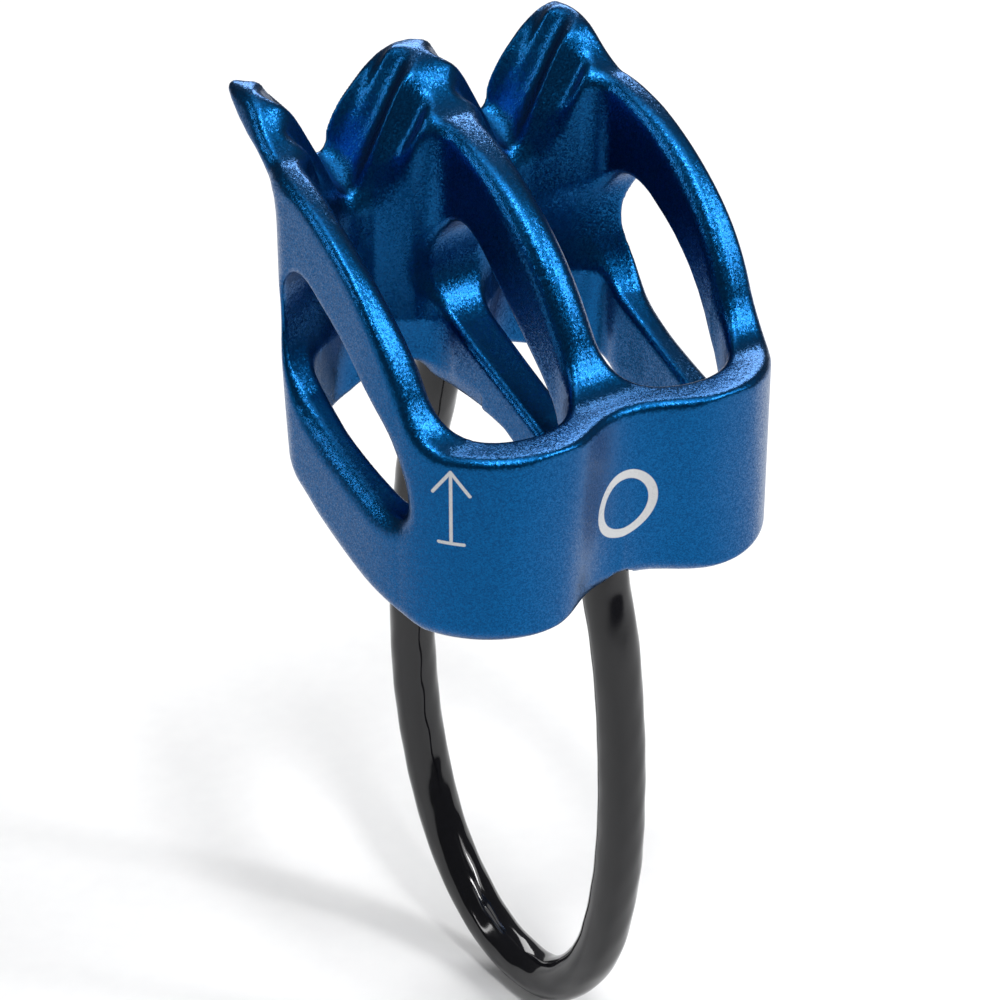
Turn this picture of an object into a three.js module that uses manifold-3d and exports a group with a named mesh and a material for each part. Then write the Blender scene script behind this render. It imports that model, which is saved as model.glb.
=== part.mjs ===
// A tube-style belay device: one forged aluminium body with two rope slots, and a keeper loop
// of plastic-sheathed wire rope whose two ends are swaged into blind bores in the body.
//
// Frame: millimetres, +Z up. X runs across the two slots and x = 0 is the mirror plane. +Y points
// to the tall, notched friction side and -Y to the smooth front wall. The dimensions below count
// heights from the front wall's foot; the last step sets the whole part on its own box's foot.

import * as THREE from 'three';
import { mergeVertices } from 'three/addons/utils/BufferGeometryUtils.js';
import Module from 'manifold-3d';

// ---- driving dimensions -------------------------------------------------------------------

const SLOT_PITCH = 20.5;              // between the two rope slots' centres
const SLOT_X = SLOT_PITCH / 2;
const SLOT_FRONT_R = 7.85;            // round front end of a slot
const LOBE_R = 12.2;                  // round front wall outside it, on the same centre
const LOBE_Y = -12.3;                 // that centre
const GROOVE_R = 5.8;                 // groove between the two lobes
const WEB_HALF = 2.4;                 // half the centre web
const WALL_IN = 19.1;                 // inner face of an outer wall
const WALL_OUT = 23.1;                // outer face of an outer wall
const SIDE_END_Y = 5.5;               // where that flat outer face ends
const CORNER = { x: 22.2, y: 8.2 };   // back corner of an outer wall
const BACK_Y = 18.4;                  // rearmost point, behind a slot's valley

const RIM_Z = 19.5;                   // rim of the front wall
const RAIL = { y: 15.5, z: 9.5, r: 32.8 };   // arc that the three rails' crests follow
const TIP = { y: 16, z: 46.4 };       // horn tip
const FLARE_Z = 38;                   // the horns sweep back above this height
const POST_FOOT_Z = 11.6;             // underside of the centre post

const NOTCH_FLOOR_Z = 34.3;           // saddle that the rope runs over
const NOTCH_FLANK = { foot: 1, slope: 0.55 };   // half width at the saddle, growth with height
const NOTCH_TOP_Z = 50;

const FLUTE_R = 2.2;                  // friction flutes across the notch flanks
const FLUTE_DEPTH = 0.7;
const FLUTE_FOOT_Z = 37.4;
const FLUTES = [{ y: 9.7, headZ: 41.2 }, { y: 13.7, headZ: 43.4 }, { y: 17.7, headZ: 42.6 }];

const CABLE_R = 2.5;                  // plastic sheath, outside
const SHEATH_BORE_R = 1.62;
const STRAND_R = 0.42;
const CENTRE_STRAND_R = 0.45;
const LAY_R = 1.02;                   // the outer strands are laid on this radius
const LAY_TURNS = 5;
const OUTER_STRANDS = 6;

const BORE_R = 2.8;
const BORE_DEPTH = 8.5;
const FERRULE_R = 2.5;
const FERRULE_LENGTH = 3.6;
const FERRULE_BORE_R = 1.72;
const CLEARANCE = 0.3;
const FLEX_GAP = 2.2;                 // from a fixed cable end to the swinging loop

// Mouths of the two blind bores, and the direction in which each runs up into the body.
const FRONT_MOUTH = new THREE.Vector3(0, -17.9, 0);
const FRONT_UP = new THREE.Vector3(0, 0.2, 1).normalize();
const REAR_MOUTH = new THREE.Vector3(0, 11.4, POST_FOOT_Z);
const REAR_UP = new THREE.Vector3(0, -0.14, 1).normalize();

// ---- helpers ------------------------------------------------------------------------------

const wasm = await Module();
wasm.setup();

function toSolid(geometry) {
  const bare = geometry.clone();
  bare.deleteAttribute('normal');
  bare.deleteAttribute('uv');
  const merged = mergeVertices(bare, 1e-4);
  return new wasm.Manifold(new wasm.Mesh({
    numProp: 3,
    vertProperties: new Float32Array(merged.attributes.position.array),
    triVerts: new Uint32Array(merged.index.array),
  }));
}

function toGeometry(solid) {
  const mesh = solid.getMesh();
  const geometry = new THREE.BufferGeometry();
  geometry.setAttribute('position', new THREE.BufferAttribute(mesh.vertProperties, 3));
  geometry.setIndex(new THREE.BufferAttribute(mesh.triVerts, 1));
  geometry.computeVertexNormals();
  return geometry;
}

// Applies a placement, and turns the faces round where it mirrors them.
function placed(geometry, matrix) {
  const moved = geometry.applyMatrix4(matrix);
  if (matrix.determinant() > 0) return moved;
  const plain = moved.index ? moved.toNonIndexed() : moved;
  const points = plain.attributes.position;
  const first = new THREE.Vector3();
  const second = new THREE.Vector3();
  for (let i = 0; i < points.count; i += 3) {
    first.fromBufferAttribute(points, i);
    second.fromBufferAttribute(points, i + 1);
    points.setXYZ(i, second.x, second.y, second.z);
    points.setXYZ(i + 1, first.x, first.y, first.z);
  }
  return plain;
}

function extruded(shape, depth, curveSegments) {
  return new THREE.ExtrudeGeometry(shape, { depth, bevelEnabled: false, curveSegments });
}

// A plan outline, drawn as (x, y), standing between two heights.
function standing(shape, low, high, curveSegments) {
  return extruded(shape, high - low, curveSegments).translate(0, 0, low);
}

// A side outline, drawn as (y, z), running across between two x values.
function across(shape, low, high, curveSegments) {
  const turn = new THREE.Matrix4().set(0, 0, 1, low, 1, 0, 0, 0, 0, 1, 0, 0, 0, 0, 0, 1);
  return placed(extruded(shape, high - low, curveSegments), turn);
}

// A front outline, drawn as (x, z), running back between two y values.
function backwards(shape, low, high, curveSegments) {
  const turn = new THREE.Matrix4().set(1, 0, 0, 0, 0, 0, 1, low, 0, 1, 0, 0, 0, 0, 0, 1);
  return placed(extruded(shape, high - low, curveSegments), turn);
}

// Stands a geometry made along +Y on the line between two points.
function onLine(geometry, from, to) {
  const along = to.clone().sub(from);
  const stand = new THREE.Quaternion().setFromUnitVectors(
    new THREE.Vector3(0, 1, 0), along.clone().normalize());
  const middle = from.clone().add(to).multiplyScalar(0.5);
  return geometry.applyQuaternion(stand).translate(middle.x, middle.y, middle.z);
}

// The solid of a geometry on the right-hand side, and that of its mirror image.
function bothSides(geometry) {
  const mirror = new THREE.Matrix4().makeScale(-1, 1, 1);
  return [toSolid(geometry), toSolid(placed(geometry.clone(), mirror))];
}

// ---- outlines of the body -----------------------------------------------------------------

// Outside in plan: two round lobes in front, flat sides, and a back that comes to a blunt
// point behind each slot.
function planOutline() {
  const grooveY = LOBE_Y - Math.sqrt((LOBE_R + GROOVE_R) ** 2 - SLOT_X ** 2);
  const touch = Math.atan2(LOBE_Y - grooveY, SLOT_X);
  const shape = new THREE.Shape();
  shape.absarc(0, grooveY, GROOVE_R, Math.PI - touch, touch, true);
  shape.absarc(SLOT_X, LOBE_Y, LOBE_R, Math.PI + touch, Math.PI * 2, false);
  shape.lineTo(WALL_OUT, LOBE_Y + 4);
  shape.lineTo(WALL_OUT, SIDE_END_Y);
  shape.lineTo(CORNER.x, CORNER.y);
  shape.lineTo(CORNER.x - 0.6, BACK_Y);
  shape.lineTo(SLOT_X, BACK_Y);
  shape.lineTo(0, BACK_Y - 1.4);
  shape.lineTo(-SLOT_X, BACK_Y);
  shape.lineTo(-CORNER.x + 0.6, BACK_Y);
  shape.lineTo(-CORNER.x, CORNER.y);
  shape.lineTo(-WALL_OUT, SIDE_END_Y);
  shape.lineTo(-WALL_OUT, LOBE_Y + 4);
  shape.absarc(-SLOT_X, LOBE_Y, LOBE_R, Math.PI, Math.PI * 2 - touch, false);
  return shape;
}

// Outside from the side: foot, front wall, rim, the long rail arc, horn, back, and a lower
// edge that rises towards the back.
function sideOutline() {
  const railFoot = Math.PI - Math.asin((RIM_Z + 3 - RAIL.z) / RAIL.r);
  const railHead = Math.PI - Math.acos((RAIL.y - 7.5) / RAIL.r);
  const shape = new THREE.Shape();
  shape.moveTo(-22.9, 0);
  shape.quadraticCurveTo(-24.5, 0, -24.5, 1.6);
  shape.lineTo(-24.5, RIM_Z - 1.6);
  shape.quadraticCurveTo(-24.5, RIM_Z, -22.9, RIM_Z);
  shape.lineTo(-18.5, RIM_Z);
  shape.quadraticCurveTo(-16, RIM_Z, RAIL.y + RAIL.r * Math.cos(railFoot), RIM_Z + 3);
  shape.absarc(RAIL.y, RAIL.z, RAIL.r, railFoot, railHead, true);
  shape.quadraticCurveTo(9.8, 42.4, 11.4, 44.4);
  shape.quadraticCurveTo(13.2, TIP.z, TIP.y, TIP.z);
  shape.quadraticCurveTo(BACK_Y, TIP.z, BACK_Y + 0.2, 43.6);
  shape.lineTo(BACK_Y + 0.2, NOTCH_FLOOR_Z + 2);
  shape.quadraticCurveTo(BACK_Y, 24, 16, 13.4);
  shape.quadraticCurveTo(12, POST_FOOT_Z, 7.4, 11.6);
  shape.quadraticCurveTo(4.2, 6.2, 0, 4.5);
  shape.quadraticCurveTo(-8, 1.4, -16, 0.1);
  return shape;
}

// The web's lower edge stands higher than the outer walls' edges: this is what is open below it.
function underWebOutline() {
  const shape = new THREE.Shape();
  shape.moveTo(-15.2, -1);
  shape.lineTo(-15.2, 0.6);
  shape.quadraticCurveTo(-11, 6.4, -3.8, 10);
  shape.quadraticCurveTo(0, POST_FOOT_Z, 7, POST_FOOT_Z);
  shape.lineTo(20, POST_FOOT_Z);
  shape.lineTo(20, -1);
  return shape;
}

// A slot in plan: round in front, near-straight sides, and a V with its valley at the back.
function slotOutline() {
  const shape = new THREE.Shape();
  shape.absarc(SLOT_X, LOBE_Y, SLOT_FRONT_R, Math.PI, Math.PI * 2, false);
  shape.quadraticCurveTo(WALL_IN, LOBE_Y + 5, WALL_IN, 0);
  shape.lineTo(WALL_IN - 0.4, 6.2);
  shape.quadraticCurveTo(WALL_IN - 0.7, 7.8, WALL_IN - 2.6, 8.6);
  shape.lineTo(SLOT_X + 2, 11.1);
  shape.quadraticCurveTo(SLOT_X, 11.9, SLOT_X - 2, 11.1);
  shape.lineTo(WEB_HALF + 2.4, 8.6);
  shape.quadraticCurveTo(WEB_HALF + 0.4, 7.8, WEB_HALF + 0.2, 5.6);
  return shape;
}

// Lightening hole: the same rounded triangle goes through all three walls.
function holeOutline() {
  const shape = new THREE.Shape();
  shape.moveTo(-11.2, 10.9);
  shape.quadraticCurveTo(-14.6, 10.6, -13.5, 15);
  shape.quadraticCurveTo(-9.4, 24.4, -0.5, 29.7);
  shape.quadraticCurveTo(3.4, 31.9, 5.8, 30.4);
  shape.quadraticCurveTo(8.3, 28.6, 8, 24);
  shape.quadraticCurveTo(7.6, 20.2, 4, 17.4);
  shape.quadraticCurveTo(-2, 14.1, -8.4, 11.7);
  shape.quadraticCurveTo(-9.8, 11, -11.2, 10.9);
  return shape;
}

// Half width of the V notch at a height.
function notchHalf(z) {
  return NOTCH_FLANK.foot + NOTCH_FLANK.slope * (z - NOTCH_FLOOR_Z);
}

// The V notch over a slot, from the front, with a rounded saddle at its foot.
function notchOutline() {
  const shoulderZ = NOTCH_FLOOR_Z + 1;
  const shoulder = notchHalf(shoulderZ);
  const top = notchHalf(NOTCH_TOP_Z);
  const shape = new THREE.Shape();
  shape.moveTo(SLOT_X - shoulder, shoulderZ);
  shape.quadraticCurveTo(SLOT_X, NOTCH_FLOOR_Z - 1, SLOT_X + shoulder, shoulderZ);
  shape.lineTo(SLOT_X + top, NOTCH_TOP_Z);
  shape.lineTo(SLOT_X - top, NOTCH_TOP_Z);
  return shape;
}

// Low arch in the back wall under a slot, from the front.
function archOutline() {
  const shape = new THREE.Shape();
  shape.moveTo(SLOT_X - 7, 8);
  shape.quadraticCurveTo(SLOT_X - 6, 15.6, SLOT_X, 15.8);
  shape.quadraticCurveTo(SLOT_X + 6, 15.6, SLOT_X + 7.4, 8);
  return shape;
}

// ---- cutters of the body ------------------------------------------------------------------

// What is trimmed off outside a back corner, run along the slanting back wall. Its section is
// upright up to FLARE_Z and leans back above, so that the horn sweeps rearwards.
function cornerTrim() {
  const section = new THREE.Shape();
  section.moveTo(0, -5);
  section.lineTo(0, FLARE_Z - 1);
  section.quadraticCurveTo(0.3, FLARE_Z + 2, 2.4, FLARE_Z + 4.2);
  section.lineTo(7.5, NOTCH_TOP_Z);
  section.lineTo(30, NOTCH_TOP_Z);
  section.lineTo(30, -5);
  const corner = new THREE.Vector3(CORNER.x, CORNER.y - 1, 0);
  const valley = new THREE.Vector3(SLOT_X - 1, BACK_Y, 0);
  const along = valley.clone().sub(corner).normalize();
  const out = new THREE.Vector3(along.y, -along.x, 0);
  const overrun = 14;
  const start = corner.clone().addScaledVector(along, -overrun);
  const place = new THREE.Matrix4().makeBasis(out, new THREE.Vector3(0, 0, 1), along);
  place.setPosition(start);
  return placed(extruded(section, corner.distanceTo(valley) + overrun, 5), place);
}

// The friction flutes of one notch, round-ended, one on each flank at each station. A flute's
// axis runs parallel to the flank and bites FLUTE_DEPTH into it.
function flutes() {
  const lift = (FLUTE_R - FLUTE_DEPTH) * Math.hypot(1, NOTCH_FLANK.slope);
  const cuts = [];
  for (const { y, headZ } of FLUTES) {
    for (const side of [-1, 1]) {
      const at = (z) => new THREE.Vector3(SLOT_X + side * (notchHalf(z) - lift), y, z);
      const foot = at(FLUTE_FOOT_Z);
      const head = at(headZ);
      const capsule = new THREE.CapsuleGeometry(FLUTE_R, foot.distanceTo(head), 4, 14);
      cuts.push(onLine(capsule, foot, head));
    }
  }
  return cuts;
}

function bore(mouth, up) {
  const below = mouth.clone().addScaledVector(up, -2);
  const top = mouth.clone().addScaledVector(up, BORE_DEPTH);
  const cylinder = new THREE.CylinderGeometry(BORE_R, BORE_R, below.distanceTo(top), 24);
  return onLine(cylinder, below, top);
}

function body() {
  const low = -1;
  let solid = toSolid(across(sideOutline(), -WALL_OUT, WALL_OUT, 14));
  solid = solid.intersect(toSolid(standing(planOutline(), low, NOTCH_TOP_Z, 16)));
  const cutters = [
    ...bothSides(cornerTrim()),
    ...bothSides(standing(slotOutline(), low, NOTCH_TOP_Z, 12)),
    ...bothSides(backwards(notchOutline(), LOBE_Y, BACK_Y + 1, 6)),
    ...bothSides(backwards(archOutline(), 0, BACK_Y + 1, 8)),
    ...flutes().flatMap(bothSides),
    toSolid(across(holeOutline(), -WALL_OUT - 1, WALL_OUT + 1, 8)),
    toSolid(across(underWebOutline(), -SLOT_X, SLOT_X, 8)),
    toSolid(bore(FRONT_MOUTH, FRONT_UP)),
    toSolid(bore(REAR_MOUTH, REAR_UP)),
  ];
  for (const cutter of cutters) solid = solid.subtract(cutter);
  return toGeometry(solid);
}

// ---- keeper loop --------------------------------------------------------------------------

// Centre line of the swinging loop, in the mirror plane, from just below the front mouth round
// to just below the rear mouth.
function loopPath() {
  const start = FRONT_MOUTH.clone().addScaledVector(FRONT_UP, -FLEX_GAP);
  const end = REAR_MOUTH.clone().addScaledVector(REAR_UP, -FLEX_GAP);
  const sag = [
    [-20.2, -9], [-21.6, -23], [-20.9, -38], [-17.2, -50], [-9.6, -57.4],
    [0.2, -57.4], [9.4, -50.4], [15.2, -37.4], [17, -22], [15.4, -4],
  ];
  const between = sag.map(([y, z]) => new THREE.Vector3(0, y, z));
  return new THREE.CatmullRomCurve3([start, ...between, end], false, 'centripetal');
}

function disc(radius) {
  const shape = new THREE.Shape();
  shape.absarc(0, 0, radius, 0, Math.PI * 2, false);
  return shape;
}

function ring(outer, inner) {
  const shape = disc(outer);
  shape.holes.push(disc(inner));
  return shape;
}

function sweep(shape, path, steps, curveSegments) {
  return new THREE.ExtrudeGeometry(shape, { extrudePath: path, steps, curveSegments });
}

// A strand laid round the loop's centre line.
class LaidStrand extends THREE.Curve {
  constructor(path, phase) {
    super();
    this.path = path;
    this.phase = phase;
  }

  getPoint(t, target = new THREE.Vector3()) {
    const tangent = this.path.getTangentAt(t);
    const sideways = new THREE.Vector3(1, 0, 0);
    const outward = new THREE.Vector3().crossVectors(tangent, sideways);
    const angle = this.phase + t * LAY_TURNS * Math.PI * 2;
    return target.copy(this.path.getPointAt(t))
      .addScaledVector(sideways, LAY_R * Math.cos(angle))
      .addScaledVector(outward, LAY_R * Math.sin(angle));
  }
}

// A fixed cable end: everything sits on a bore's axis, between two distances from its mouth.
function onAxis(shape, mouth, up, from, to, curveSegments) {
  const low = mouth.clone().addScaledVector(up, from);
  const high = mouth.clone().addScaledVector(up, to);
  return sweep(shape, new THREE.LineCurve3(low, high), 1, curveSegments);
}

// ---- assembly -----------------------------------------------------------------------------

const anodised = new THREE.MeshStandardMaterial({ color: 0x0a5cad, roughness: 0.45, metalness: 0.9 });
const sheathing = new THREE.MeshStandardMaterial({ color: 0x0b0b0e, roughness: 0.18, metalness: 0 });
const wire = new THREE.MeshStandardMaterial({ color: 0xa9adb2, roughness: 0.35, metalness: 1 });
const swage = new THREE.MeshStandardMaterial({ color: 0x9a9ea3, roughness: 0.3, metalness: 1 });

const device = new THREE.Group();

function add(name, geometry, material) {
  const mesh = new THREE.Mesh(geometry, material);
  mesh.name = name;
  device.add(mesh);
}

function addCableEnd(side, mouth, up) {
  const top = BORE_DEPTH - CLEARANCE;
  const ferruleFoot = top - FERRULE_LENGTH;
  const ferrule = ring(FERRULE_R, FERRULE_BORE_R);
  const sheathEnd = ring(CABLE_R, SHEATH_BORE_R);
  add(`${side}_ferrule`, onAxis(ferrule, mouth, up, ferruleFoot, top, 12), swage);
  add(`${side}_wire_end`, onAxis(disc(LAY_R + STRAND_R), mouth, up, 0, top, 8), wire);
  add(`${side}_sheath_end`, onAxis(sheathEnd, mouth, up, 0, ferruleFoot - CLEARANCE, 12), sheathing);
}

add('body', body(), anodised);
addCableEnd('front', FRONT_MOUTH, FRONT_UP);
addCableEnd('rear', REAR_MOUTH, REAR_UP);

const path = loopPath();
add('loop_sheath', sweep(ring(CABLE_R, SHEATH_BORE_R), path, 56, 9), sheathing);
add('loop_strand_centre', sweep(disc(CENTRE_STRAND_R), path, 56, 3), wire);
for (let i = 0; i < OUTER_STRANDS; i += 1) {
  const strand = new LaidStrand(path, (i / OUTER_STRANDS) * Math.PI * 2);
  add(`loop_strand_${i + 1}`, sweep(disc(STRAND_R), strand, 60, 3), wire);
}

// The origin goes to the middle of the foot of the part's box.
const bounds = new THREE.Box3().setFromObject(device);
const middleY = (bounds.min.y + bounds.max.y) / 2;
for (const mesh of device.children) mesh.geometry.translate(0, -middleY, -bounds.min.z);

export default device;
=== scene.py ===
"""A tube-style belay device: a forged, bead-blasted and blue anodised body with two rope slots,
and a keeper loop of black sheathed wire rope.

Shapes are worked out in the device's design frame: millimetres, x across the two slots, y towards
the tall notched side, z up from the foot of the front wall. ORIGIN takes that frame to the row's.
"""

import math

import bpy
import numpy as np
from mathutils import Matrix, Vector


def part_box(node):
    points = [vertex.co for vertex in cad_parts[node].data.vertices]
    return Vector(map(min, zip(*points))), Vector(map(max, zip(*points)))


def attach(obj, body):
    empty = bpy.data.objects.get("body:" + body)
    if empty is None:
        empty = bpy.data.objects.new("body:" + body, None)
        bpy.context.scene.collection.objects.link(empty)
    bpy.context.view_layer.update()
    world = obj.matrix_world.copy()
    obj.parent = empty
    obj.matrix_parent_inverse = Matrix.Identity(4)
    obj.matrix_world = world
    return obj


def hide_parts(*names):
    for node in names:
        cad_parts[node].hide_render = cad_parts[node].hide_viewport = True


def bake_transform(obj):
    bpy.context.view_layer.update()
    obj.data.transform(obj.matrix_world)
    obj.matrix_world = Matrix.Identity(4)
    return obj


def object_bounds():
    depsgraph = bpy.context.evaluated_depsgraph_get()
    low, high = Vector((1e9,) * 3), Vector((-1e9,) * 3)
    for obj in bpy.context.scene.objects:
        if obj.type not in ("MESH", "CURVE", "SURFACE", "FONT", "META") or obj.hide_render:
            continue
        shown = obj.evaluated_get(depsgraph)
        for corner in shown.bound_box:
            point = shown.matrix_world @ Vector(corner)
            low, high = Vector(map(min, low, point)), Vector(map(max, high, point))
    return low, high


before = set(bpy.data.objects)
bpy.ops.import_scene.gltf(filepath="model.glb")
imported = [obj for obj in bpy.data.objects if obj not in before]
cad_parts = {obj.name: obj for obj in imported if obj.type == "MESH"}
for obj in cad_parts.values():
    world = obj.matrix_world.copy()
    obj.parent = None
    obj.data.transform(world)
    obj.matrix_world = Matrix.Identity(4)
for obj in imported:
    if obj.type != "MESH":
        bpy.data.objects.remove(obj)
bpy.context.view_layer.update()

MM = 0.001
FRONT_Y = -24.5
CREST_Z = 46.4
body_low, body_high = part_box("body")
ORIGIN = Vector((0, body_low.y - FRONT_Y * MM, body_high.z - CREST_Z * MM))

# ---- driving dimensions, mm -----------------------------------------------------------------

SLOT_X = 10.25            # centre of a rope slot
SLOT_FRONT_R = 7.85
LOBE_R = 12.2
LOBE_Y = -12.3
GROOVE_Y = -21.2          # bottom of the groove between the two lobes
WEB_HALF = 2.4
WALL_IN = 19.1
WALL_OUT = 23.1
SIDE_END_Y = 5.5
CORNER = (22.2, 8.2)
BACK_Y = 18.4
FOOT_Z = -1.1
RIM_Z = 19.5
RAIL_Y, RAIL_Z, RAIL_R = 15.5, 9.5, 32.8
TIP_Y = 16
HORN_Z = 39               # the outer sides lean in above this
HORN_LEAN = 0.28
HORN_SWEEP = (            # heights, and how far the back corner is swept out there
    (8, 14, 20, 36.5, 38, 39.6, 40.6, 41.7, 42.6, 43.8, 45.1, 46, 50),
    (-0.5, 0, 0.45, 0.45, 0.5, 1.1, 1.9, 3, 4.2, 5.5, 6.7, 7.3, 9))
POST_FOOT_Z = 11.6
PARTING_Z = 19.3
RIDGES = (8.5, 12.1, 16.1, 18.5)     # y of the ridges between the flutes on a notch's flanks
FLUTE_DEPTHS = (1.25, 0.9, 0.35)
RIDGE_PROFILES = (                   # for each ridge: heights, and the notch's half width there
    ((30.5, 33.5, 37.2, 41.3, 42.9, 50), (1.2, 2.6, 4.4, 6.9, 7.95, 12.5)),
    ((32.4, 34, 38.7, 43, 44.5, 45.7, 50), (0.4, 1.1, 3.45, 5.75, 6.8, 7.8, 11.4)),
    ((33, 34.5, 36.6, 39.9, 42.3, 44.6, 46.3, 50), (0.5, 1, 2.2, 3.8, 5.1, 6.5, 7.6, 10.2)),
    ((34.8, 36, 38, 40.1, 41.8, 44.3, 45.5, 46.3, 50), (0.1, 0.15, 0.6, 1.55, 2.8, 5.4, 7.3, 9, 14)),
)
SADDLE_Y, SADDLE_Z, SADDLE_SLOPE = 14.25, 34.15, 0.556
FOOT_EDGE_R = 1.9
HOLE_EDGE_R = 0.85
BAR_EDGE_R = 1.6          # added along the bar under a side hole
BORE_EDGE_R = 0.35
GROOVE_RELIEF = 1.2
FOOT_DRAFT = 1.6
BORE_R = 2.8
BORE_DEPTH = 8.5
CABLE_R = 2.58
SHEATH_BORE_R = 1.62
FERRULE_LENGTH = 3.6
CLEARANCE = 0.3
FLEX_GAP = 2.2
FRONT_MOUTH = np.array([0, -17.9, 0])
FRONT_UP = np.array([0, 0.2, 1]) / math.hypot(0.2, 1)
REAR_MOUTH = np.array([0, 11.4, POST_FOOT_Z])
REAR_UP = np.array([0, -0.14, 1]) / math.hypot(0.14, 1)

VOXEL = 0.27

# ---- outlines -------------------------------------------------------------------------------


class Outline:
    """A closed outline drawn from lines, quadratic curves and arcs, with its signed distance."""

    def __init__(self, x, y):
        self.points = [(x, y)]

    def line(self, *ends):
        self.points.extend(ends)
        return self

    def curve(self, cx, cy, x, y, steps=9):
        ax, ay = self.points[-1]
        for i in range(1, steps + 1):
            t = i / steps
            k = 1 - t
            self.points.append((k * k * ax + 2 * k * t * cx + t * t * x,
                                k * k * ay + 2 * k * t * cy + t * t * y))
        return self

    def arc(self, cx, cy, radius, start, end, steps=28):
        for i in range(steps + 1):
            angle = start + (end - start) * i / steps
            self.points.append((cx + radius * math.cos(angle), cy + radius * math.sin(angle)))
        return self

    def distance(self, px, py):
        nearest = np.full(np.broadcast(px, py).shape, np.inf)
        inside = np.zeros(nearest.shape, bool)
        previous = self.points[-1]
        for point in self.points:
            (ax, ay), (bx, by) = previous, point
            previous = point
            ex, ey = bx - ax, by - ay
            length2 = ex * ex + ey * ey
            if length2 < 1e-12:
                continue
            wx, wy = px - ax, py - ay
            t = np.clip((wx * ex + wy * ey) / length2, 0, 1)
            nearest = np.minimum(nearest, (wx - t * ex) ** 2 + (wy - t * ey) ** 2)
            if by != ay:
                crosses = (ay > py) != (by > py)
                inside ^= crosses & (px < ax + (py - ay) * ex / ey)
        return np.where(inside, -1, 1) * np.sqrt(nearest)


def plan_outline():
    """The body seen from above: two lobes with a groove between them, and a straight back."""
    front = LOBE_Y - LOBE_R
    o = Outline(0, GROOVE_Y)
    for i in range(1, 20):
        t = i / 20
        o.line((SLOT_X * t, GROOVE_Y + (front - GROOVE_Y) * (1 - math.cos(math.pi * t)) / 2))
    o.arc(SLOT_X, LOBE_Y, LOBE_R, 1.5 * math.pi, math.tau - 0.1, 30)
    o.curve(WALL_OUT, LOBE_Y + 1.5, WALL_OUT, LOBE_Y + 5)
    o.line((WALL_OUT, SIDE_END_Y - 1))
    o.curve(WALL_OUT, SIDE_END_Y + 1, *CORNER)
    o.line((CORNER[0] - 0.2, BACK_Y + 0.3), (SLOT_X, BACK_Y))
    o.curve(SLOT_X * 0.5, BACK_Y, 0, BACK_Y - 0.4)
    half = o.points[:]
    o.points = half + [(-x, y) for x, y in reversed(half)]
    return o


def side_outline():
    """The body seen from the side, y and z: foot, low front wall, rising rail, crest and back."""
    foot = math.pi - math.asin((RIM_Z + 5 - RAIL_Z) / RAIL_R)
    head = math.pi - math.acos((RAIL_Y - 7.5) / RAIL_R)
    o = Outline(FRONT_Y, FOOT_Z)
    o.line((FRONT_Y, RIM_Z), (-19.2, RIM_Z))
    o.curve(-15.9, RIM_Z, RAIL_Y + RAIL_R * math.cos(foot), RIM_Z + 5)
    o.arc(RAIL_Y, RAIL_Z, RAIL_R, foot, head, 30)
    o.curve(9.8, 42.4, 11.4, 44.4)
    o.curve(13.2, CREST_Z + 0.2, TIP_Y, CREST_Z + 0.2)
    o.line((BACK_Y + 0.8, CREST_Z), (BACK_Y + 0.6, 36.3))
    o.curve(BACK_Y, 24, 16.8, 12.6)
    o.curve(16.2, 9.5, 12, 9)
    o.line((8.4, 8.5))
    o.curve(5.4, 7.4, 1.7, 4.7)
    o.curve(-3, 2, -10.5, 0.3)
    o.line((-16, FOOT_Z))
    return o


def under_web_outline():
    """The hollow below the web, y and z."""
    o = Outline(-15.2, -4)
    o.line((-15.2, 0.6))
    o.curve(-11, 6.8, -3.8, 10.5)
    o.curve(0, POST_FOOT_Z, 7, POST_FOOT_Z)
    o.line((24, POST_FOOT_Z), (24, -4))
    return o


def slot_outline():
    """The right rope slot seen from above."""
    o = Outline(WEB_HALF, LOBE_Y + 0.3)
    o.arc(SLOT_X, LOBE_Y + 0.3, SLOT_FRONT_R, math.pi, math.tau, 36)
    o.curve(WALL_IN, LOBE_Y + 5, WALL_IN, 0)
    o.line((WALL_IN - 0.4, 5.9))
    o.curve(WALL_IN - 0.7, 7.4, WALL_IN - 2.6, 8.2)
    o.line((SLOT_X + 2, 10.7))
    o.curve(SLOT_X, 11.6, SLOT_X - 2, 10.7)
    o.line((WEB_HALF + 2.6, 8.2))
    o.curve(WEB_HALF + 0.5, 7.4, WEB_HALF + 0.2, 5.2)
    return o


def wall_hole_outline():
    """The hole through an outer wall, y and z."""
    o = Outline(-11.2, 10.3)
    o.curve(-14.9, 10.1, -13.4, 15)
    o.curve(-9.4, 24.4, -0.5, 29.7)
    o.curve(3.2, 32.1, 5.9, 30.8)
    o.curve(8.9, 29, 8.9, 25)
    o.curve(8.9, 20.2, 4.9, 17.2)
    o.curve(-1.5, 13.6, -7.6, 11.3)
    o.curve(-9.6, 10.4, -11.2, 10.3)
    return o


def web_hole_outline():
    """The hole through the web between the slots, y and z."""
    o = Outline(-10.6, 12.6)
    o.curve(-13.6, 12.4, -12.6, 15.2)
    o.curve(-11.8, 17.2, -9.6, 19.6)
    o.line((-1.2, 27.9))
    o.curve(1.7, 31, 3.6, 31.1)
    o.curve(5.4, 31.1, 6.3, 30)
    o.curve(8, 28.4, 8, 25)
    o.curve(7.7, 21.6, 4.4, 19.6)
    o.curve(-1.5, 16.6, -8.3, 13.6)
    o.curve(-9.6, 12.8, -10.6, 12.6)
    return o


def arch_outline():
    """The arch cut up into the back wall below a slot, x and z."""
    o = Outline(2.3, 0)
    o.line((2.3, 12))
    o.curve(3.2, 14.4, 5.6, 14)
    o.curve(7.4, 12.4, SLOT_X, 10.7)
    o.curve(13.8, 9.4, 18, 8.8)
    o.line((18.6, 8), (18.6, 0))
    return o


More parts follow.
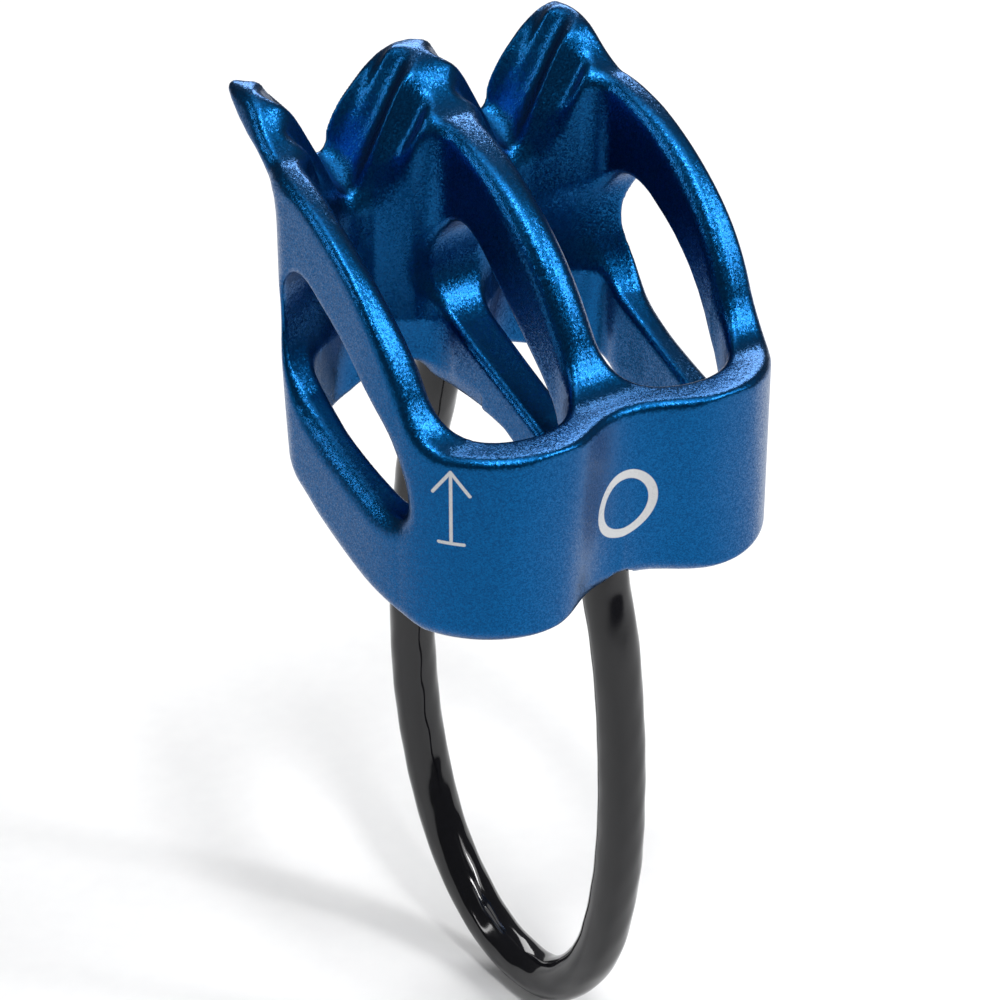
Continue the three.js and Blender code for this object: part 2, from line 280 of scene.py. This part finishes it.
# ---- the body as a distance field -----------------------------------------------------------


def step_up(low, high, value):
    """Smooth step from 0 at low to 1 at high, where high may be the smaller of the two."""
    t = np.clip((value - low) / (high - low), 0, 1)
    return t * t * (3 - 2 * t)


def common(a, b, radius):
    """Intersection of two solids whose shared edge is rounded to a radius."""
    return (np.minimum(np.maximum(a, b), -radius)
            + np.hypot(np.maximum(a + radius, 0), np.maximum(b + radius, 0)))


def cut(a, b, radius):
    return common(a, -b, radius)


def notch_half(y, z):
    """Half width of a crest notch, ruled between its ridges and hollowed by the flutes."""
    profiles = [np.interp(z, heights, widths) for heights, widths in RIDGE_PROFILES]
    half = profiles[0] + 0 * y
    fade = 0.4 + 0.6 * step_up(34, 41, z)
    for k, depth in enumerate(FLUTE_DEPTHS):
        t = (y - RIDGES[k]) / (RIDGES[k + 1] - RIDGES[k])
        half = half + (profiles[k + 1] - profiles[k]) * np.clip(t, 0, 1)
        half = half + fade * depth * np.sin(math.pi * np.clip(t, 0, 1)) ** 1.2
    return half


def notch_field(x, y, z):
    """Inside a V notch over a slot: its flanks, and the sloping saddle at its bottom."""
    reach = 0.5
    low, middle, high = (notch_half(y, z + shift) for shift in (-reach, 0, reach))
    slope = (high - low) / (2 * reach)
    across = np.hypot(x - SLOT_X, 0.8) - 0.15
    flank = (across - (low + middle + high) / 3) / np.hypot(1, slope)
    saddle = ((y - SADDLE_Y) * SADDLE_SLOPE + SADDLE_Z - z) / math.hypot(1, SADDLE_SLOPE)
    return np.maximum(common(flank, saddle, 1.3), -y)


def corner_field(x, y, z):
    """Outside a back corner: upright along the slanting back wall, swept back into the horns."""
    cx, cy = CORNER[0], CORNER[1] - 1
    along = np.array([SLOT_X - 1 - cx, BACK_Y - cy])
    along /= np.linalg.norm(along)
    out = (x - cx) * along[1] - (y - cy) * along[0]
    inner = 2.4 * step_up(33, 38, z) * step_up(20, 14, x) * step_up(48, 42, z)
    return out - np.interp(z, *HORN_SWEEP) - inner


def bore_field(x, y, z, mouth, up):
    rise = (y - mouth[1]) * up[1] + (z - mouth[2]) * up[2]
    sideways = (y - mouth[1]) * up[2] - (z - mouth[2]) * up[1]
    return np.maximum(np.hypot(x, sideways) - BORE_R, np.abs(rise + 1) - BORE_DEPTH - 1)


def outer_edge_radius(y, z):
    """Rounding of the outer edges: full at the foot and under the side holes, tighter above."""
    radius = FOOT_EDGE_R - 0.9 * step_up(5, 15, z) + 0.3 * step_up(-12, -4, y) * step_up(24, 32, z)
    return radius + 0.8 * step_up(-10, 0, y) * step_up(18, 12, z)


def groove_relief(x, y, z):
    """How much deeper the front groove is cut, most at the foot."""
    across = np.exp(-((x - 5.6) / 4.8) ** 2)
    return GROOVE_RELIEF * across * step_up(19, -4, z) * step_up(-14, -18, y)


def slot_draft(y, z):
    """How far the slot's wall leans out, away from the height where the forging dies part."""
    below = np.maximum(PARTING_Z - z, 0)
    above = np.maximum(z - PARTING_Z, 0)
    return FOOT_DRAFT * (1 - np.exp(-0.22 * below)) * step_up(4, 10, y) + 0.015 * above


def lip_radius(y, z):
    """Rounding of the notch's edges."""
    return 0.8 + 0.7 * step_up(39, 35.5, z) - 0.3 * step_up(16, 18, y) * step_up(36, 39, z)


def hole_edge_radius(x, y, z):
    """Rounding of a side hole's edges: widest along the outside of the bar below it."""
    on_bar = step_up(20.2, 22, x) * step_up(24, 19, z) * step_up(7, 2, y)
    return HOLE_EDGE_R + BAR_EDGE_R * on_bar


def body_field(x, y, z):
    """Signed distance to the body, in mm, for x >= 0."""
    groove_rise = 0.7 * step_up(8, 0, x) * step_up(6, 0, z)
    plan = plan_outline().distance(x, y) + groove_relief(x, y, z)
    solid = common(side_outline().distance(y, z - groove_rise), plan, outer_edge_radius(y, z))
    solid = common(solid, corner_field(x, y, z), 1.7 - 0.8 * step_up(35, 40, z))
    lean = (x - WALL_OUT + HORN_LEAN * np.maximum(z - HORN_Z, 0)) / math.hypot(1, HORN_LEAN)
    solid = common(solid, lean, 1.2)

    slot_r = 0.8 + 1.2 * step_up(-19, -13, y) - 0.6 * step_up(-6, 4, y)
    solid = cut(solid, slot_outline().distance(x, y) - slot_draft(y, z), slot_r)

    solid = cut(solid, arch_outline().distance(x, z) + 30 * (y < 0), 0.8)
    under = np.maximum(under_web_outline().distance(y, z), x - 6)
    solid = cut(solid, under, HOLE_EDGE_R + 0.05)
    solid = cut(solid, notch_field(x, y, z), lip_radius(y, z))

    slant = 0.36 * (x - 17) * step_up(-2, 7, y)
    wall_hole = np.maximum(wall_hole_outline().distance(y + slant, z), SLOT_X - x)
    solid = cut(solid, wall_hole, hole_edge_radius(x, y, z))
    web_hole = np.maximum(web_hole_outline().distance(y, z), x - SLOT_X)
    solid = cut(solid, web_hole, HOLE_EDGE_R + 0.05)

    for mouth, up in ((FRONT_MOUTH, FRONT_UP), (REAR_MOUTH, REAR_UP)):
        solid = cut(solid, bore_field(x, y, z, mouth, up), BORE_EDGE_R)
    return solid


# ---- meshes ---------------------------------------------------------------------------------


def sampled(field, points):
    """Trilinear value of a field at points given in its own grid steps."""
    base = np.clip(np.floor(points).astype(int), 0, np.array(field.shape) - 2)
    t = points - base
    value = 0
    for corner in np.ndindex(2, 2, 2):
        weight = np.prod(np.where(corner, t, 1 - t), axis=1)
        i, j, k = (base + corner).T
        value = value + weight * field[i, j, k]
    return value


def zero_surface(field):
    """Vertices (in grid steps) and quads of the zero surface of a sampled field."""
    cells = tuple(n - 1 for n in field.shape)
    total = np.zeros(cells + (3,), np.float32)
    count = np.zeros(cells, np.float32)
    inside = field < 0
    crossings = []
    for axis in range(3):
        near = [slice(None)] * 3
        far = [slice(None)] * 3
        near[axis], far[axis] = slice(None, -1), slice(1, None)
        a, b = field[tuple(near)], field[tuple(far)]
        crossing = inside[tuple(near)] != inside[tuple(far)]
        t = np.where(crossing, a / np.where(crossing, a - b, 1), 0)
        crossings.append((crossing, inside[tuple(near)]))
        others = [k for k in range(3) if k != axis]
        for du, dv in np.ndindex(2, 2):
            part = [slice(None)] * 3
            part[others[0]] = slice(du, cells[others[0]] + du)
            part[others[1]] = slice(dv, cells[others[1]] + dv)
            hit = crossing[tuple(part)]
            count += hit
            total[..., axis] += t[tuple(part)]
            total[..., others[0]] += hit * du
            total[..., others[1]] += hit * dv
    active = count > 0
    index = np.full(cells, -1)
    index[active] = np.arange(active.sum())
    vertices = np.argwhere(active) + total[active] / count[active][:, None]
    quads = []
    for axis, (crossing, starts_inside) in enumerate(crossings):
        u, v = [(axis + 1) % 3, (axis + 2) % 3]
        found = np.argwhere(crossing)
        found = found[(found[:, u] > 0) & (found[:, v] > 0)
                      & (found[:, u] < cells[u]) & (found[:, v] < cells[v])]
        corners = []
        for du, dv in ((1, 1), (0, 1), (0, 0), (1, 0)):
            cell = found.copy()
            cell[:, u] -= du
            cell[:, v] -= dv
            corners.append(index[tuple(cell.T)])
        faces = np.stack(corners, 1)
        outward = starts_inside[tuple(found.T)]
        quads.append(np.where(outward[:, None], faces, faces[:, ::-1]))
    return vertices, np.concatenate(quads)


def settled(field, vertices, rounds=3):
    """Moves vertices onto the zero surface along the field's slope."""
    shift = 0.5
    for _ in range(rounds):
        value = sampled(field, vertices)
        slope = np.stack([
            (sampled(field, vertices + shift * unit) - sampled(field, vertices - shift * unit))
            for unit in np.eye(3)], 1)
        step = value[:, None] * slope / np.maximum((slope ** 2).sum(1), 1e-9)[:, None]
        vertices = vertices - np.clip(step, -0.4, 0.4)
    return vertices


def new_mesh(name, vertices_mm, faces):
    """A smooth-shaded mesh object from points in the design frame."""
    mesh = bpy.data.meshes.new(name)
    placed = vertices_mm * MM + np.array(ORIGIN)
    mesh.from_pydata(placed.tolist(), [], faces.tolist())
    mesh.validate()
    mesh.shade_smooth()
    item = bpy.data.objects.new(name, mesh)
    bpy.context.scene.collection.objects.link(item)
    return item


def build_body():
    pad = 3 * VOXEL
    half_steps = int((WALL_OUT + pad) / VOXEL) + 1
    x = np.arange(half_steps) * VOXEL
    y = np.arange(FRONT_Y - pad, BACK_Y + 1 + pad, VOXEL)
    z = np.arange(FOOT_Z - pad, CREST_Z + pad, VOXEL)
    half = body_field(x[:, None, None], y[None, :, None], z[None, None, :])
    field = np.concatenate([half[:0:-1], half])
    vertices, quads = zero_surface(field)
    vertices = settled(field, vertices)
    low = np.array([-x[-1], y[0], z[0]])
    return new_mesh("forged_body", vertices * VOXEL + low, quads)


# ---- keeper loop ----------------------------------------------------------------------------

# (y, z) of points that the keeper loop hangs through, from the front bore round to the rear one
SAG = [(-20.2, -9), (-21.6, -23), (-20.9, -38), (-17.2, -50), (-9.6, -57.4),
       (0.2, -57.4), (9.4, -50.4), (15.2, -37.4), (17, -22), (15.4, -4)]
LAY_LENGTH = 30           # mm along the cable for one turn of the strands under the sheath
SKIN_INSET = 0.03         # keeps the sheath's shallow ripples inside its CAD solid


def catmull_rom(points, per_span):
    """Centripetal Catmull-Rom curve through points, its ends carried on straight."""
    points = np.array(points, float)
    ends = [2 * points[0] - points[1], 2 * points[-1] - points[-2]]
    p = np.vstack([ends[0], points, ends[1]])
    curve = []
    for i in range(1, len(p) - 2):
        d = [np.linalg.norm(p[k + 1] - p[k]) ** 0.5 for k in (i - 1, i, i + 1)]
        m1 = ((p[i] - p[i - 1]) / d[0] - (p[i + 1] - p[i - 1]) / (d[0] + d[1])
              + (p[i + 1] - p[i]) / d[1]) * d[1]
        m2 = ((p[i + 1] - p[i]) / d[1] - (p[i + 2] - p[i]) / (d[1] + d[2])
              + (p[i + 2] - p[i + 1]) / d[2]) * d[1]
        for t in np.arange(per_span) / per_span:
            curve.append(p[i] * (2 * t ** 3 - 3 * t ** 2 + 1) + m1 * (t ** 3 - 2 * t ** 2 + t)
                         + p[i + 1] * (3 * t ** 2 - 2 * t ** 3) + m2 * (t ** 3 - t ** 2))
    return np.array(curve + [points[-1]])


def cable_centre_line(spacing):
    """Evenly spaced (y, z) points of the cable, with its corners at the bore mouths eased."""
    inside = BORE_DEPTH - FERRULE_LENGTH - 3 * CLEARANCE
    start = FRONT_MOUTH - FLEX_GAP * FRONT_UP
    end = REAR_MOUTH - FLEX_GAP * REAR_UP
    loop = catmull_rom([start[1:], *SAG, end[1:]], 24)
    line = np.vstack([(FRONT_MOUTH + inside * FRONT_UP)[1:], (FRONT_MOUTH + FRONT_UP)[1:],
                      loop, (REAR_MOUTH + REAR_UP)[1:], (REAR_MOUTH + inside * REAR_UP)[1:]])
    run = np.concatenate([[0], np.cumsum(np.linalg.norm(np.diff(line, axis=0), axis=1))])
    even = np.linspace(0, run[-1], int(run[-1] / spacing))
    line = np.stack([np.interp(even, run, line[:, k]) for k in range(2)], 1)
    reach = max(1, int(0.8 / spacing))
    kernel = np.hanning(2 * reach + 3)[1:-1]
    kernel /= kernel.sum()
    ends = np.vstack([np.linspace(line[0] * 2 - line[reach], line[0], reach, endpoint=False), line,
                      np.linspace(line[-1], line[-1] * 2 - line[-1 - reach], reach + 1)[1:]])
    return np.stack([np.convolve(ends[:, k], kernel, "valid") for k in range(2)], 1)


def build_cable():
    """The sheath in one piece, from inside the front bore round to inside the rear bore."""
    around = 64
    line = cable_centre_line(0.35)
    tangent = np.gradient(line, axis=0)
    tangent /= np.linalg.norm(tangent, axis=1)[:, None]
    outward = np.stack([tangent[:, 1], -tangent[:, 0]], 1)
    run = np.concatenate([[0], np.cumsum(np.linalg.norm(np.diff(line, axis=0), axis=1))])
    angle = np.arange(around) * math.tau / around
    rings = []
    for radius, rippled in ((CABLE_R, 1), (SHEATH_BORE_R, 0)):
        s, a = run[:, None], angle[None, :]
        lay = a - s * math.tau / LAY_LENGTH
        ripple = (0.014 * np.cos(6 * lay) + 0.022 * np.sin(0.19 * s + 1.3 * np.sin(a + 0.4))
                  + 0.012 * np.sin(0.47 * s + 2 * a + 1) + 0.008 * np.sin(1.1 * s + 3 * a)) * rippled
        r = radius - SKIN_INSET * rippled + ripple
        rings.append(np.stack([
            r * np.cos(a) + 0 * s,
            line[:, None, 0] + outward[:, None, 0] * r * np.sin(a),
            line[:, None, 1] + outward[:, None, 1] * r * np.sin(a)], -1))
    n = len(line)
    vertices = np.concatenate([rings[0].reshape(-1, 3), rings[1].reshape(-1, 3)])
    faces = []
    for i in range(n - 1):
        for j in range(around):
            k = (j + 1) % around
            a, b, c, d = i * around + j, i * around + k, (i + 1) * around + k, (i + 1) * around + j
            faces.append((a, b, c, d))
            faces.append(tuple(n * around + q for q in (d, c, b, a)))
    for row in (0, n - 1):
        for j in range(around):
            k = (j + 1) % around
            ring = (row * around + j, row * around + k,
                    (n + row) * around + k, (n + row) * around + j)
            faces.append(ring[::-1] if row == 0 else ring)
    return new_mesh("loop_cable", vertices, np.array(faces))


# ---- materials ------------------------------------------------------------------------------


class Nodes:
    """Short hand for building a node tree."""

    def __init__(self, name):
        self.material = bpy.data.materials.new(name)
        self.material.use_nodes = True
        self.tree = self.material.node_tree
        self.surface = self.tree.nodes["Principled BSDF"]

    def add(self, kind, **inputs):
        node = self.tree.nodes.new("ShaderNode" + kind)
        for key, value in inputs.items():
            if hasattr(node, key):
                setattr(node, key, value)
            else:
                self.put(node.inputs[key.replace("_", " ")], value)
        return node

    def put(self, socket, value):
        if isinstance(value, bpy.types.NodeSocket):
            self.tree.links.new(value, socket)
        else:
            socket.default_value = value

    def math(self, operation, *values):
        node = self.tree.nodes.new("ShaderNodeMath")
        node.operation = operation
        for socket, value in zip(node.inputs, values):
            self.put(socket, value)
        return node.outputs[0]

    def ramp(self, factor, low, high, to_low=0.0, to_high=1.0):
        node = self.tree.nodes.new("ShaderNodeMapRange")
        for socket, value in zip(node.inputs, (factor, low, high, to_low, to_high)):
            self.put(socket, value)
        return node.outputs[0]

    def mix(self, factor, a, b):
        node = self.tree.nodes.new("ShaderNodeMix")
        node.data_type = "RGBA"
        self.put(node.inputs[0], factor)
        self.put(node.inputs[6], a)
        self.put(node.inputs[7], b)
        return node.outputs[2]

    def noise(self, vector, scale, detail=2.0, roughness=0.5):
        node = self.tree.nodes.new("ShaderNodeTexNoise")
        self.put(node.inputs["Vector"], vector)
        self.put(node.inputs["Scale"], scale)
        self.put(node.inputs["Detail"], detail)
        self.put(node.inputs["Roughness"], roughness)
        return node.outputs[0]

    def bump(self, height, strength, distance):
        node = self.tree.nodes.new("ShaderNodeBump")
        self.put(node.inputs["Height"], height)
        self.put(node.inputs["Strength"], strength)
        self.put(node.inputs["Distance"], distance)
        return node.outputs[0]

    def vector(self, operation, a, b=(0, 0, 0), scale=1.0):
        node = self.tree.nodes.new("ShaderNodeVectorMath")
        node.operation = operation
        self.put(node.inputs[0], a)
        self.put(node.inputs[1], b)
        self.put(node.inputs[3], scale)
        return node.outputs[0]

    def flakes(self, vector, scale):
        """A random vector for every grain, its parts from -0.5 to 0.5."""
        node = self.tree.nodes.new("ShaderNodeTexVoronoi")
        self.put(node.inputs["Vector"], vector)
        self.put(node.inputs["Scale"], scale)
        return self.vector("SUBTRACT", node.outputs["Color"], (0.5, 0.5, 0.5))

    def segment(self, s, t, start, end):
        """Distance in the plane of s and t to a straight line from start to end."""
        ds, dt = end[0] - start[0], end[1] - start[1]
        s0 = self.math("SUBTRACT", s, start[0])
        t0 = self.math("SUBTRACT", t, start[1])
        dot = self.math("ADD", self.math("MULTIPLY", s0, ds), self.math("MULTIPLY", t0, dt))
        part = self.ramp(dot, 0.0, ds * ds + dt * dt)
        s1 = self.math("SUBTRACT", s0, self.math("MULTIPLY", part, ds))
        t1 = self.math("SUBTRACT", t0, self.math("MULTIPLY", part, dt))
        return self.math("SQRT", self.math("ADD", self.math("MULTIPLY", s1, s1),
                                           self.math("MULTIPLY", t1, t1)))

    def set(self, **values):
        for key, value in values.items():
            self.put(self.surface.inputs[key.replace("_", " ")], value)


RING_Z, RING_R, RING_LINE = 8.9, 3.3, 0.48     # mm; a plain ring marked in the front groove
ARROW_ANGLE, ARROW_Z, ARROW_LINE = math.radians(-54), 14.2, 0.17     # arrow on the left lobe
LINE_EDGE = 0.04
ARROW = [((0, -3.9), (0, 3.7)), ((-1.9, 1.5), (0, 3.9)), ((1.9, 1.5), (0, 3.9)),
         ((-1.3, -3.9), (1.3, -3.9))]


def mark_mask(n, coordinates):
    """1 on the two plain marks of the front: a ring in the groove, an upright arrow on a lobe."""
    placed = n.vector("SUBTRACT", coordinates, tuple(ORIGIN))
    split = n.tree.nodes.new("ShaderNodeSeparateXYZ")
    n.put(split.inputs[0], placed)
    x, y, z = (n.math("MULTIPLY", axis, 1 / MM) for axis in split.outputs)
    rise = n.math("SUBTRACT", z, RING_Z)
    radial = n.math("SQRT", n.math("ADD", n.math("MULTIPLY", x, x), n.math("MULTIPLY", rise, rise)))
    ring = n.math("ABSOLUTE", n.math("SUBTRACT", radial, RING_R))
    ring = n.ramp(ring, RING_LINE + LINE_EDGE, RING_LINE - LINE_EDGE)

    angle = n.math("ARCTAN2", n.math("ADD", x, SLOT_X), n.math("SUBTRACT", LOBE_Y, y))
    around = n.math("MULTIPLY", n.math("SUBTRACT", angle, ARROW_ANGLE), LOBE_R)
    up = n.math("SUBTRACT", z, ARROW_Z)
    nearest = n.segment(around, up, *ARROW[0])
    for start, end in ARROW[1:]:
        nearest = n.math("MINIMUM", nearest, n.segment(around, up, start, end))
    arrow = n.ramp(nearest, ARROW_LINE + LINE_EDGE, ARROW_LINE - LINE_EDGE)
    front = n.ramp(y, -15.5, -16)
    left_lobe = n.ramp(x, -8, -8.2)
    arrow = n.math("MULTIPLY", arrow, n.math("MULTIPLY", left_lobe, n.ramp(y, -12.5, -13)))
    return n.math("MAXIMUM", n.math("MULTIPLY", ring, front), arrow)


GRAINS_PER_METRE = 7600
GRAIN_TILT = 0.2
BLUES = ((0.0003, 0.052, 0.17, 1), (0.0004, 0.059, 0.19, 1))
PALE_GRAIN = (0.0015, 0.096, 0.28, 1)
MARK_GREY = (0.56, 0.57, 0.58, 1)


def anodised_material():
    """Blue anodising over a bead-blasted skin: each grain has its own tilt, tone and gloss."""
    n = Nodes("anodised")
    coordinates = n.add("TexCoord").outputs["Object"]
    cloud = n.noise(coordinates, 70, 3.0, 0.5)
    shape = n.add("NewGeometry").outputs["Normal"]
    flakes = n.flakes(coordinates, GRAINS_PER_METRE)
    normal = n.vector("NORMALIZE", n.vector("ADD", shape, n.vector("SCALE", flakes, scale=GRAIN_TILT)))
    split = n.tree.nodes.new("ShaderNodeSeparateXYZ")
    n.put(split.inputs[0], flakes)
    blue = n.mix(cloud, *BLUES)
    colour = n.mix(n.ramp(split.outputs[0], -0.5, 0.5), blue, PALE_GRAIN)
    mark = mark_mask(n, coordinates)
    n.set(Base_Color=n.mix(mark, colour, MARK_GREY), Normal=normal,
          Metallic=n.math("SUBTRACT", 1.0, n.math("MULTIPLY", mark, 0.85)),
          Roughness=n.ramp(split.outputs[2], -0.5, 0.5, 0.28, 0.34))
    n.set(Coat_Weight=n.math("MULTIPLY", n.math("SUBTRACT", 1.0, mark), 0.1),
          Coat_Roughness=0.2, Coat_IOR=1.5, Coat_Normal=normal)
    return n.material


def sheath_material():
    n = Nodes("sheath")
    coordinates = n.add("TexCoord").outputs["Object"]
    soft = n.noise(coordinates, 160, 2.0, 0.5)
    fine = n.noise(coordinates, 900, 3.0, 0.6)
    normal = n.bump(n.math("ADD", soft, n.math("MULTIPLY", fine, 0.12)), 0.2, 0.0002)
    n.set(Base_Color=n.mix(fine, (0.003, 0.003, 0.004, 1), (0.006, 0.006, 0.008, 1)),
          Roughness=n.ramp(soft, 0.35, 0.7, 0.07, 0.14), Normal=normal, Specular_IOR_Level=0.45)
    return n.material


def steel_material(name, tint):
    n = Nodes(name)
    coordinates = n.add("TexCoord").outputs["Object"]
    drawn = n.noise(coordinates, 2600, 2.0, 0.5)
    n.set(Base_Color=n.mix(drawn, (tint * 0.8, tint * 0.82, tint * 0.85, 1), (tint, tint, tint, 1)),
          Metallic=1.0, Roughness=n.ramp(drawn, 0.3, 0.7, 0.22, 0.4),
          Normal=n.bump(drawn, 0.3, 0.00005))
    return n.material


def floor_material():
    n = Nodes("floor")
    coordinates = n.add("TexCoord").outputs["Object"]
    paper = n.noise(coordinates, 400, 2.0, 0.5)
    n.set(Base_Color=n.mix(paper, (0.86, 0.86, 0.865, 1), (0.9, 0.9, 0.9, 1)), Roughness=0.9)
    return n.material


def dress(item, material):
    item.data.materials.clear()
    item.data.materials.append(material)


# ---- the object -----------------------------------------------------------------------------

anodised = anodised_material()
body = build_body()
dress(body, anodised)
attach(body, "device")
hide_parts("body")

cable = build_cable()
dress(cable, sheath_material())
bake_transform(cable)
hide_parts("front_sheath_end", "rear_sheath_end", "loop_sheath")

wire = steel_material("wire", 0.62)
swage = steel_material("swage", 0.52)
for name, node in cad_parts.items():
    if "strand" in name or "wire_end" in name:
        dress(node, wire)
    if "ferrule" in name:
        dress(node, swage)

# ---- studio ---------------------------------------------------------------------------------

floor_mesh = bpy.data.meshes.new("floor")
FLOOR_HALF = 3.0
floor_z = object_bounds()[0][2] - 0.5 * MM
floor_mesh.from_pydata([(-FLOOR_HALF, -FLOOR_HALF, floor_z), (FLOOR_HALF, -FLOOR_HALF, floor_z),
                        (FLOOR_HALF, FLOOR_HALF, floor_z), (-FLOOR_HALF, FLOOR_HALF, floor_z)],
                       [], [(0, 1, 2, 3)])
floor = bpy.data.objects.new("floor", floor_mesh)
bpy.context.scene.collection.objects.link(floor)
dress(floor, floor_material())

AZIMUTH = math.radians(-36.2)
ELEVATION = math.radians(28.7)
DISTANCE = 0.3213
LENS = 108.65


def facing(place, target):
    """Rotation that turns a light's or camera's -Z from place to target."""
    return (Vector(target) - Vector(place)).to_track_quat("-Z", "Y").to_euler()


def softbox(name, azimuth, elevation, distance, width, height, power):
    """Area light aimed at the body, placed by angles seen from it; azimuth 0 is the front."""
    data = bpy.data.lights.new(name, "AREA")
    data.shape = "RECTANGLE"
    data.size, data.size_y = width, height
    data.energy = power
    light = bpy.data.objects.new(name, data)
    az, el = math.radians(azimuth), math.radians(elevation)
    centre = Vector(ORIGIN) + Vector((0, 0, 0.02))
    light.location = centre + distance * Vector(
        (math.sin(az) * math.cos(el), -math.cos(az) * math.cos(el), math.sin(el)))
    light.rotation_euler = facing(light.location, centre)
    bpy.context.scene.collection.objects.link(light)


softbox("top_box", -10, 80, 1.0, 0.75, 0.75, 3.2)
softbox("front_right_box", 42, 36, 0.9, 0.4, 0.35, 1.8)
softbox("right_strip", 40, 40, 0.8, 0.06, 0.3, 2.0)
softbox("back_box", 146, 34, 0.9, 0.6, 0.3, 4.6)
softbox("left_strip", -105, 30, 0.7, 0.05, 0.6, 1.0)
softbox("key_strip", -14, 62, 0.6, 0.07, 0.2, 1.6)

world = bpy.data.worlds.new("studio")
world.use_nodes = True
world.node_tree.nodes["Background"].inputs[0].default_value = (0.95, 0.97, 1, 1)
world.node_tree.nodes["Background"].inputs[1].default_value = 0.1
bpy.context.scene.world = world
bpy.context.scene.view_settings.view_transform = "Standard"

camera_data = bpy.data.cameras.new("camera")
camera_data.sensor_width = 36
camera_data.lens = LENS
camera_data.clip_start = 0.01
camera = bpy.data.objects.new("camera", camera_data)
camera.location = Vector(ORIGIN) + DISTANCE * Vector(
    (math.sin(AZIMUTH) * math.cos(ELEVATION), -math.cos(AZIMUTH) * math.cos(ELEVATION),
     math.sin(ELEVATION)))
camera.rotation_euler = facing(camera.location, ORIGIN)
bpy.context.scene.collection.objects.link(camera)
bpy.context.scene.camera = camera
